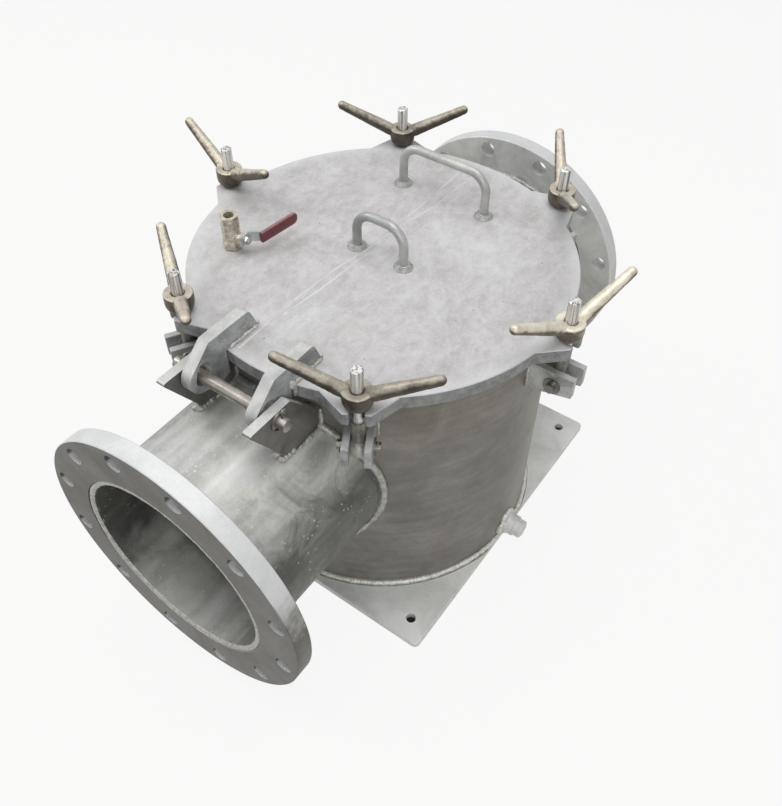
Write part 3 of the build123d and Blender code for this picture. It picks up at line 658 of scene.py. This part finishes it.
BEAD_SIDES = 9
BEAD_STEP = 1.7 * MM
BEAD_SKEW = Vector((0.31, 0.17, 0.93))  # no bead runs along this
LUMP_SCALE, PIMPLE_SCALE, DRIFT_SCALE = 110, 260, 90
PIMPLE_SHARE, RIPPLE_SHARE, DRIFT_SHARE = 0.3, 0.35, 0.6
RIPPLE_PITCH = 5.2 * MM
END_SIZE, END_GROWTH = 0.45, 0.2


def bead_rings(path, radius, closed, lumps):
    """Sections of a bead along a path: lumpy, rippled, and thinner at open ends."""
    points = resample(path, BEAD_STEP, closed)
    count = len(points)
    drift = lumps * radius * DRIFT_SHARE
    rings = []
    for i, point in enumerate(points):
        before = points[i - 1] if closed or i else points[0]
        after = points[(i + 1) % count] if closed or i < count - 1 else points[-1]
        along = (after - before).normalized()
        side = along.cross(BEAD_SKEW).normalized()
        up = side.cross(along)
        end = 1.0 if closed else min(1, END_SIZE + min(i, count - 1 - i) * END_GROWTH)
        size = 1 + lumps * noise.noise(point * LUMP_SCALE)
        size += PIMPLE_SHARE * lumps * noise.noise(point * PIMPLE_SCALE)
        size += RIPPLE_SHARE * lumps * math.sin(2 * math.pi * i * BEAD_STEP / RIPPLE_PITCH)
        middle = point + side * drift * noise.noise(point * DRIFT_SCALE)
        middle += up * drift * noise.noise(point * DRIFT_SCALE + point)
        rings.append(circle(middle, side, up, radius * size * end, BEAD_SIDES))
    return rings


def weld(name, paths, body, material, radius, lumps, closed=False):
    """One piece of weld metal, laid along each of the paths."""
    beads = [loft(bead_rings(path, radius, closed, lumps), closed) for path in paths]
    make_object(name, *joined(beads), material, body, "galvanised_steel")


DROP_RADIUS = 5.5 * MM
DROP_SCALE = 130
DROP_LUMPS = 0.35


def drops(name, centres, body, material):
    """Round drops of weld metal where a run starts or stops."""
    form = bmesh.new()
    for centre in centres:
        ball = bmesh.ops.create_icosphere(form, subdivisions=3, radius=DROP_RADIUS)
        for v in ball["verts"]:
            v.co = centre + v.co * (1 + DROP_LUMPS * noise.noise((v.co + centre) * DROP_SCALE))
    form.verts.index_update()
    vertices = [v.co.copy() for v in form.verts]
    faces = [tuple(v.index for v in face.verts) for face in form.faces]
    form.free()
    make_object(name, vertices, faces, material, body, "galvanised_steel")


# The part's welds

HINGE_SIDES = (("right", -1), ("left", 1))


def foot_weld(material):
    """Round the shell's foot, kept on the base plate where the shell overhangs it."""
    edge = plate_high.y - 2.5 * MM
    path = circle(Vector((0, 0, plate_high.z + 3 * MM)), X, Y, SHELL_RADIUS + 2 * MM, 180)
    path = [Vector((p.x, max(-edge, min(edge, p.y)), p.z)) for p in path]
    weld("weld_foot", [path], "vessel", material, radius=3.7 * MM, lumps=0.28, closed=True)


def nozzle_welds(material):
    """Where the nozzles meet the shell."""
    off = 2.6 * MM
    for name, side in (("inlet", -1), ("outlet", 1)):
        path = []
        for angle in turns(120):
            y = (NOZZLE_RADIUS + off) * math.cos(angle)
            z = NOZZLE_Z + (NOZZLE_RADIUS + off) * math.sin(angle)
            path.append(Vector((side * (reach(SHELL_RADIUS, y) + off), y, z)))
        weld(f"weld_{name}_branch", [path], "vessel", material, radius=5.2 * MM, lumps=0.22, closed=True)


def flange_welds(material):
    """Behind each flange, and inside it at the end of the nozzle."""
    inset = 4.6 * MM
    off = 2.5 * MM
    for name, face_x, side in (("inlet", inlet_low.x, 1), ("outlet", outlet_high.x, -1)):
        back = Vector((face_x + side * (FLANGE_THICKNESS + off), 0, NOZZLE_Z))
        inside = Vector((face_x + side * inset, 0, NOZZLE_Z))
        outer = circle(back, Y, Z, NOZZLE_RADIUS + off, 180)
        inner = circle(inside, Y, Z, NOZZLE_BORE + inset, 180)
        weld(f"weld_{name}_flange", [outer], "vessel", material, radius=4 * MM, lumps=0.3, closed=True)
        weld(f"weld_{name}_bore", [inner], "vessel", material, radius=inset, lumps=0.1, closed=True)


def handle_welds(material):
    """Two beads round each foot of the lid's handles, the upper one narrower."""
    foot = 12.5 * MM
    for node in ("lid_handle_small", "lid_handle_large"):
        low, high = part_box(node)
        middle_x = (low.x + high.x) / 2
        paths = []
        for y in (low.y + foot, high.y - foot):
            for rise, radius in ((-0.4 * MM, 10.4 * MM), (1.6 * MM, 8.6 * MM)):
                paths.append(circle(Vector((middle_x, y, LID_TOP + rise)), X, Y, radius, 36))
        weld(f"weld_{node}", paths, "lid", material, radius=2.9 * MM, lumps=0.2, closed=True)


ARM_DROP_X = -246 * MM


def hinge_welds(material):
    """Beside each hinge arm and over the lid's edge, across its nose, and a drop outside."""
    edge = -reach(LID_RADIUS, arm_high.y)
    top = LID_TOP + 1 * MM
    for name, side in HINGE_SIDES:
        paths = []
        for y in (arm_low.y - 1 * MM, arm_high.y + 1 * MM):
            start = Vector((arm_high.x - 1 * MM, side * y, top))
            end = Vector((edge + 2 * MM, side * y, top))
            corner = Vector((edge - 1 * MM, side * y, lid_low.z))
            paths.append([start, end, corner])
        paths.append([Vector((arm_high.x + 1 * MM, side * y, top)) for y in (arm_low.y, arm_high.y)])
        weld(f"weld_hinge_arm_{name}", paths, "lid", material, radius=2.6 * MM, lumps=0.5)
        outer = Vector((ARM_DROP_X, side * (arm_high.y + 1 * MM), LID_TOP + 3 * MM))
        drops(f"weld_arm_blob_{name}", [outer], "lid", material)


LUG_WELD_X = -263 * MM
LUG_WELD_TOP = 381 * MM
LUG_DROP_X = (-286 * MM, -281 * MM, -275 * MM, -269 * MM)
LUG_DROP_Y = (59 * MM, 66 * MM)


def lug_welds(material):
    """Along the nozzle and up the shell on both sides of each hinge lug, and drops at its foot."""
    for name, side in HINGE_SIDES:
        paths = []
        for y in (lug_low.y - 1.5 * MM, lug_high.y + 1.5 * MM):
            z = NOZZLE_Z + reach(NOZZLE_RADIUS + MM, y)
            shell_x = -reach(SHELL_RADIUS + 2 * MM, y)
            corner = ((shell_x - 4 * MM, z + 2 * MM), (shell_x, z + 8 * MM))
            line = ((LUG_WELD_X, z), *corner, (shell_x, LUG_WELD_TOP))
            paths.append([Vector((at_x, side * y, at_z)) for at_x, at_z in line])
        weld(f"weld_hinge_lug_{name}", paths, "vessel", material, radius=2.8 * MM, lumps=0.35)
        feet = [
            Vector((x, side * y, NOZZLE_Z + reach(NOZZLE_RADIUS, y) + 1.5 * MM))
            for x in LUG_DROP_X for y in LUG_DROP_Y
        ]
        drops(f"weld_lug_foot_{name}", feet, "vessel", material)


DOG_LUG_FACES = (8 * MM, 18 * MM, -8 * MM, -18 * MM)


def dog_lug_welds(material):
    """Upright beads beside both faces of each lug that carries a swing bolt."""
    low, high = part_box("dog_lugs")
    paths = []
    for angle in BOLT_ANGLES:
        for y in DOG_LUG_FACES:
            x = reach(SHELL_RADIUS + 1.5 * MM, y)
            paths.append([turned((x, y, z), angle) for z in (high.z - 7 * MM, low.z + 5 * MM)])
    weld("weld_dog_lugs", paths, "vessel", material, radius=2.2 * MM, lumps=0.55)


def drain_weld(material):
    """Round the drain boss, on the shell."""
    low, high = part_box("drain_boss")
    middle = (low + high) / 2
    radius = 17.5 * MM
    path = []
    for angle in turns(48):
        x, z = radius * math.cos(angle), radius * math.sin(angle)
        path.append(Vector((x, -reach(SHELL_RADIUS, x) - 2 * MM, middle.z + z)))
    weld("weld_drain_boss", [path], "vessel", material, radius=4.6 * MM, lumps=0.7, closed=True)


# Corners of the lid's two seams, in millimetres
SEAM_LINES = [
    [(-240, 31), (-178, 34), (-126, 33), (-55, 30), (-6, 22), (70, 22), (110, 20), (242, 22)],
    [(-166, 27), (-84, 20), (-22, 17), (74, 14), (114, 6), (244, -2)],
]
SEAM_WAVES = 14


def seam_on_lid(material):
    """Two low runs where the lid's halves were welded together and dressed."""
    paths = []
    for number, line in enumerate(SEAM_LINES):
        corners = [Vector((x * MM, y * MM, LID_TOP - 2 * MM)) for x, y in line]
        path = resample(corners, 8 * MM)
        waves = [noise.noise(Vector((p.x * SEAM_WAVES, number, 0))) for p in path]
        paths.append([p + Y * 1.3 * MM * wave for p, wave in zip(path, waves)])
    weld("weld_lid_seam", paths, "lid", material, radius=2.7 * MM, lumps=0.1)


# Threads and split pins

THREAD_RADIUS = STUD_RADIUS - 0.15 * MM
THREAD_DEPTH = 0.45 * MM
THREAD_PITCH = 2 * MM
THREAD_SIDES = 40
ROWS_PER_PITCH = 6


def thread(name, foot, body, material, low, high):
    """Helical ridge on an upright stud, from low to high."""
    rows = round((high - low) / THREAD_PITCH * ROWS_PER_PITCH)
    rings = []
    for row in range(rows + 1):
        z = low + (high - low) * row / rows
        ring = []
        for k, angle in enumerate(turns(THREAD_SIDES)):
            phase = (z / THREAD_PITCH - k / THREAD_SIDES) % 1
            r = THREAD_RADIUS + THREAD_DEPTH * (1 - abs(2 * phase - 1))
            ring.append(foot + Vector((r * math.cos(angle), r * math.sin(angle), z)))
        rings.append(ring)
    make_object(name, *loft(rings, caps=False), material, body, "stud_steel")


def stud_threads(material):
    """Thread above each wing nut, and from below the lid up to the nut."""
    for i, angle in enumerate(BOLT_ANGLES):
        foot = turned((BOLT_CIRCLE, 0, 0), angle)
        body = f"swing_bolt_{i + 1}"
        thread(f"thread_top_{i + 1}", foot, body, material, NUT_TOP - 2 * MM, STUD_TOP - 1.3 * MM)
        thread(f"thread_low_{i + 1}", foot, body, material, lid_low.z - 4 * MM, NUT_BOTTOM)


WIRE_SIDES = 8
WIRE_SKEW = Vector((0.13, 0.29, 0.95))  # no wire runs along this
WIRE_SHARE = 0.36
EYE_STEPS = 8
TAIL_STEPS = 5
TAIL_BEND = 70


def wire(path, radius):
    """Rings of a round wire along a path of close points."""
    rings = []
    for i, point in enumerate(path):
        along = (path[min(i + 1, len(path) - 1)] - path[max(i - 1, 0)]).normalized()
        side = along.cross(WIRE_SKEW).normalized()
        rings.append(circle(point, side, side.cross(along), radius, WIRE_SIDES))
    return rings


def split_pin(place, axis, pin_radius, size, lean):
    """Two legs through the cross hole, an eye at the top and tails bent back round the pin.

    The wire, the eye and the tails are in proportion to the size.
    """
    down = (Matrix.Rotation(lean, 3, axis) @ -Z).normalized()
    side = axis.cross(down).normalized()
    legs = []
    for leg in (-1, 1):
        path = []
        for i in range(EYE_STEPS + 1):
            a = math.pi * i / EYE_STEPS
            eye = place - down * (pin_radius + size * (1.2 + math.cos(math.pi - a)))
            path.append(eye + side * leg * size * 0.95 * math.sin(a))
        start = place - down * pin_radius * 0.9 + side * leg * 0.45 * size * 0.3
        bottom = place + down * (pin_radius + 0.6 * size)
        path += [start, bottom]
        for i in range(1, TAIL_STEPS + 1):
            a = math.radians(TAIL_BEND * i / TAIL_STEPS)
            aside = side * leg * size * 1.5 * math.sin(a)
            path.append(bottom + aside + down * size * (1 - math.cos(a)) * 0.5)
        legs.append(loft(wire(path, WIRE_SHARE * size)))
    return joined(legs)


HINGE_PIN = dict(pin_radius=8 * MM, size=3.4 * MM, lean=math.radians(28))
DOG_PIN = dict(pin_radius=6 * MM, size=2.9 * MM)
DOG_SPLIT_PIN_Y = 21.6 * MM


def split_pins(material):
    """Bent wire in place of the CAD's straight split pins."""
    low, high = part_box("hinge_split_pins")
    pin_low, pin_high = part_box("hinge_pin")
    centre = (pin_low + pin_high) / 2
    ends = (low.y + 4 * MM, high.y - 4 * MM)
    pins = [split_pin(Vector((centre.x, y, centre.z)), Y, **HINGE_PIN) for y in ends]
    piece = make_object("split_pins_hinge", *joined(pins), material, "vessel", "stainless")
    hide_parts("hinge_split_pins")

    dog_pin_z = sum(c.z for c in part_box("dog_pins")) / 2
    pins = []
    for i, angle in enumerate(BOLT_ANGLES):
        for side in (-1, 1):
            place = turned((BOLT_CIRCLE, side * DOG_SPLIT_PIN_Y, dog_pin_z), angle)
            lean = math.radians(25 * math.sin(2.1 * i + side))
            pins.append(split_pin(place, turned(Y, angle), **DOG_PIN, lean=lean))
    piece = make_object("split_pins_dogs", *joined(pins), material, "vessel", "stainless")
    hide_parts("dog_split_pins")


# Wing nuts

NUT_BORE = 7.6 * MM
HUB_FOOT = 10.4 * MM
HUB_RADIUS = 17.9 * MM
HUB_CUP = 12.6 * MM
HUB_CHAMFER = 1.2 * MM
HUB_STEPS = 8
HUB_SIDES = 48
WING_ROOT_Z = 12.6 * MM
WING_TIP_Z = 55.6 * MM
WING_REACH = 87 * MM
WING_STEPS = 26
WING_SIDES = 20
WING_VOXEL = 0.95 * MM
CASTING_GRAIN = ((240, 0.22), (70, 0.3))  # scale, height in millimetres
# Least gaps above the nut's underside and round the stud, so that the casting touches neither
LID_ROOM = 0.1 * MM
STUD_ROOM = 0.55 * MM


def hub_profile():
    """Half section of the hub, from the bore's foot round the outside to the bore's top."""
    height = NUT_TOP - NUT_BOTTOM
    points = [(NUT_BORE, 0.4 * MM), (8.4 * MM, 0)]
    for i in range(HUB_STEPS + 1):
        a = math.radians(90 * i / HUB_STEPS)
        points.append((HUB_FOOT + (HUB_RADIUS - HUB_FOOT) * math.sin(a), HUB_CUP * (1 - math.cos(a))))
    points += [(HUB_RADIUS, height - HUB_CHAMFER), (HUB_RADIUS - HUB_CHAMFER, height)]
    points += [(8.8 * MM, height), (NUT_BORE, height - 1.4 * MM)]
    return points


def wing_rings(side):
    """Sections of one wing, from inside the hub to its rounded tip."""
    root = Vector((0, 0, WING_ROOT_Z))
    tip = Vector((side * WING_REACH, 0, WING_TIP_Z))
    along = (tip - root).normalized()
    up = along.cross(Y) * -side
    length = (tip - root).length
    stations = [
        (root + along * 11 * MM - up * 3 * MM, 4 * MM),
        (root + along * 14 * MM - up * 1 * MM, 7.6 * MM),
    ]
    for i in range(5, WING_STEPS + 1):
        share = i / WING_STEPS
        stations.append((root + along * length * share, (9.5 - 3.3 * share) * MM))
    for i in range(1, 6):
        a = math.radians(90 * i / 5.4)
        stations.append((root + along * (length + 6.1 * MM * math.sin(a)), 6.2 * MM * math.cos(a)))
    return [circle(middle, Y, up, radius, WING_SIDES) for middle, radius in stations]


def wing_nut_mesh():
    """Casting with its wings blended into the hub, about its own axis, foot at zero."""
    hub = [
        [Vector((r * math.cos(a), r * math.sin(a), z)) for r, z in hub_profile()]
        for a in turns(HUB_SIDES)
    ]
    vertices, faces = joined([loft(hub, closed=True), loft(wing_rings(-1)), loft(wing_rings(1))])
    mesh = bpy.data.meshes.new("wing_nut_form")
    mesh.from_pydata([tuple(v) for v in vertices], [], faces)
    fix = bmesh.new()
    fix.from_mesh(mesh)
    bmesh.ops.recalc_face_normals(fix, faces=fix.faces)
    fix.to_mesh(mesh)
    fix.free()
    form = bpy.data.objects.new("wing_nut_form", mesh)
    bpy.context.scene.collection.objects.link(form)
    remesh = form.modifiers.new("remesh", "REMESH")
    remesh.mode = "VOXEL"
    remesh.voxel_size = WING_VOXEL
    smooth = form.modifiers.new("smooth", "SMOOTH")
    smooth.factor = 0.5
    smooth.iterations = 6
    depsgraph = bpy.context.evaluated_depsgraph_get()
    result = bpy.data.meshes.new_from_object(form.evaluated_get(depsgraph))
    bpy.data.objects.remove(form)
    for v in result.vertices:
        grain = sum(noise.noise(v.co * scale) * height * MM for scale, height in CASTING_GRAIN)
        v.co += v.normal * grain
        v.co.z = max(v.co.z, LID_ROOM)
        off = math.hypot(v.co.x, v.co.y)
        if off < STUD_RADIUS + STUD_ROOM:
            v.co.xy *= (STUD_RADIUS + STUD_ROOM) / off
    return result


def wing_nuts(materials):
    """The castings in place of the CAD's wing nuts, each with its own tone and direction."""
    form = wing_nut_mesh()
    for i, (angle, wing_angle) in enumerate(zip(BOLT_ANGLES, WING_ANGLES)):
        mesh = form.copy()
        mesh.materials.clear()
        mesh.materials.append(materials[NUT_TONES[i]])
        foot = turned((BOLT_CIRCLE, 0, NUT_BOTTOM), angle)
        mesh.transform(Matrix.Translation(foot) @ Matrix.Rotation(math.radians(wing_angle), 4, "Z"))
        for face in mesh.polygons:
            face.use_smooth = True
        name = f"wing_nut_{i + 1}"
        piece = bpy.data.objects.new(f"casting_{i + 1}", mesh)
        bpy.context.scene.collection.objects.link(piece)
        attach(piece, name)
        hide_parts(name)


# Lever grip

GRIP_NEAR = Vector((-87.5 * MM, 126.3 * MM, VALVE_Z))
GRIP_FAR = Vector((-26.8 * MM, 120.3 * MM, VALVE_Z))
GRIP_SHARES = [0, 0.006, 0.02, 0.06] + [i / 20 for i in range(2, 20)] + [0.965, 0.98, 0.992, 1]
GRIP_HALF_WIDTH = 7.7
GRIP_HALF_THICKNESS = 3.5
GRIP_ROUNDING = 0.88  # share of the length where the far end begins to round off
GRIP_SIDES = 28
GRIP_CORNER = 0.6


def squared(value):
    """A sine or cosine that stays near its ends, for a section with rounded corners."""
    return math.copysign(abs(value) ** GRIP_CORNER, value)


def lever_grip(material):
    """Dipped sleeve round the lever's blade, a little wider and rounded at its far end."""
    along = (GRIP_FAR - GRIP_NEAR).normalized()
    side = Z.cross(along)
    length = (GRIP_FAR - GRIP_NEAR).length
    rings = []
    for share in GRIP_SHARES:
        end = 1 - max(0, (share - GRIP_ROUNDING) / (1 - GRIP_ROUNDING)) ** 3 * 0.5
        start = 0.8 if share == 0 else 0.93 if share < 0.01 else 1
        half_width = (GRIP_HALF_WIDTH + 0.55 * share) * MM * end * start
        half_thick = (GRIP_HALF_THICKNESS - 0.2 * share) * MM * (0.45 + 0.55 * end) * start
        middle = GRIP_NEAR + along * length * share
        rings.append([
            middle
            + Z * (squared(math.cos(a)) * half_width)
            + side * (squared(math.sin(a)) * half_thick)
            for a in turns(GRIP_SIDES)
        ])
    piece = make_object("lever_sleeve", *loft(rings), material, "vent_lever", "red_grip")
    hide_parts("valve_grip")


# Stage: floor, lamps and world

FLOOR_SIZE = 14
FLOOR_DROP = 0.2 * MM
FLOOR_GLOW = 0.9
PLATE_INSET = 4 * MM
SKY_COLOUR = (0.95, 0.97, 1)
SKY_STRENGTH = 0.2

# Name, place, width and depth, power; all point at LAMP_TARGET
LAMPS = (
    ("lamp_top", (0.0, -0.1, 3.2), (2.6, 2.2), 54),
    ("lamp_back", (-0.9, 2.2, 2.3), (1.3, 1.1), 26),
    ("lamp_front", (-2.1, -1.9, 1.6), (1.5, 1.2), 20),
)
LAMP_TARGET = Vector((0, 0, 0.3))


def camera_sees(tree):
    """One where a camera, mirror or glass ray looks, zero elsewhere."""
    rays = tree.nodes.new("ShaderNodeLightPath").outputs
    seen = rays["Is Camera Ray"]
    for other in ("Is Glossy Ray", "Is Transmission Ray"):
        either = tree.nodes.new("ShaderNodeMath")
        either.operation = "MAXIMUM"
        tree.links.new(seen, either.inputs[0])
        tree.links.new(rays[other], either.inputs[1])
        seen = either.outputs[0]
    return seen


def make_floor():
    """White where it is looked at, beige in the light it throws back, with a painted shadow under the
    base plate.
    """
    s = Shader("floor")
    tone = s.ramp(s.noise(30, 3, 0.5), (0.3, (0.60, 0.57, 0.52)), (0.7, (0.63, 0.60, 0.55)))
    place = s.parts(s.place)
    covered = []
    for axis, low, high in (("X", plate_low.x, plate_high.x), ("Y", plate_low.y, plate_high.y)):
        off = s.sum(s.sum(place[axis], (low + high) / 2, "SUBTRACT"), 0, "ABSOLUTE")
        covered.append(s.sum(off, (high - low) / 2 - PLATE_INSET, "LESS_THAN"))
    under = s.sum(*covered, "MULTIPLY")
    # Painted shadow: near black floor under the base plate, with no glow there
    s.set(Base_Color=s.mix(under, tone, (0.03, 0.028, 0.025)), Roughness=0.8, Specular_IOR_Level=0.1)
    glow = s.add("ShaderNodeEmission")
    glow.inputs["Color"].default_value = (1, 1, 1, 1)
    glow.inputs["Strength"].default_value = 1
    share = s.add("ShaderNodeMixShader")
    lit = s.sum(camera_sees(s.tree), FLOOR_GLOW, "MULTIPLY")
    s.feed(share.inputs[0], s.sum(lit, s.sum(1, under, "SUBTRACT"), "MULTIPLY"))
    s.feed(share.inputs[1], s.surface.outputs[0])
    s.feed(share.inputs[2], glow.outputs[0])
    s.feed(s.tree.nodes["Material Output"].inputs["Surface"], share.outputs[0])
    half = FLOOR_SIZE / 2
    corners = [(-half, -half, 0), (half, -half, 0), (half, half, 0), (-half, half, 0)]
    mesh = bpy.data.meshes.new("floor")
    mesh.from_pydata(corners, [], [(0, 1, 2, 3)])
    mesh.materials.append(s.material)
    floor = bpy.data.objects.new("floor", mesh)
    floor.location.z = -FLOOR_DROP
    bpy.context.scene.collection.objects.link(floor)


def make_world():
    """White where it is looked at, a weak cool light on the part."""
    world = bpy.data.worlds.new("world")
    world.use_nodes = True
    bpy.context.scene.world = world
    tree = world.node_tree
    tree.nodes.clear()
    share = tree.nodes.new("ShaderNodeMixShader")
    tree.links.new(camera_sees(tree), share.inputs[0])
    for socket, colour, strength in ((1, SKY_COLOUR, SKY_STRENGTH), (2, (1, 1, 1), 1)):
        light = tree.nodes.new("ShaderNodeBackground")
        light.inputs["Color"].default_value = (*colour, 1)
        light.inputs["Strength"].default_value = strength
        tree.links.new(light.outputs[0], share.inputs[socket])
    out = tree.nodes.new("ShaderNodeOutputWorld")
    tree.links.new(share.outputs[0], out.inputs[0])


def make_lamps():
    for name, place, size, power in LAMPS:
        data = bpy.data.lights.new(name, "AREA")
        data.shape = "RECTANGLE"
        data.size, data.size_y = size
        data.energy = power
        lamp = bpy.data.objects.new(name, data)
        lamp.location = place
        lamp.rotation_mode = "QUATERNION"
        lamp.rotation_quaternion = (LAMP_TARGET - Vector(place)).to_track_quat("-Z", "Y")
        bpy.context.scene.collection.objects.link(lamp)


def main():
    bpy.context.scene.view_settings.view_transform = "Standard"
    make_camera()
    make_world()
    make_floor()
    make_lamps()
    materials = make_materials()
    dress_nodes(materials)
    foot_weld(materials["weld_bright"])
    nozzle_welds(materials["weld"])
    flange_welds(materials["weld"])
    handle_welds(materials["weld_dull"])
    hinge_welds(materials["weld"])
    lug_welds(materials["weld"])
    dog_lug_welds(materials["weld"])
    drain_weld(materials["weld_bright"])
    seam_on_lid(materials["seam"])
    stud_threads(materials["stud"])
    split_pins(materials["pin_steel"])
    lever_grip(materials["red"])
    wing_nuts(materials)


main()
bpy.context.view_layer.update()
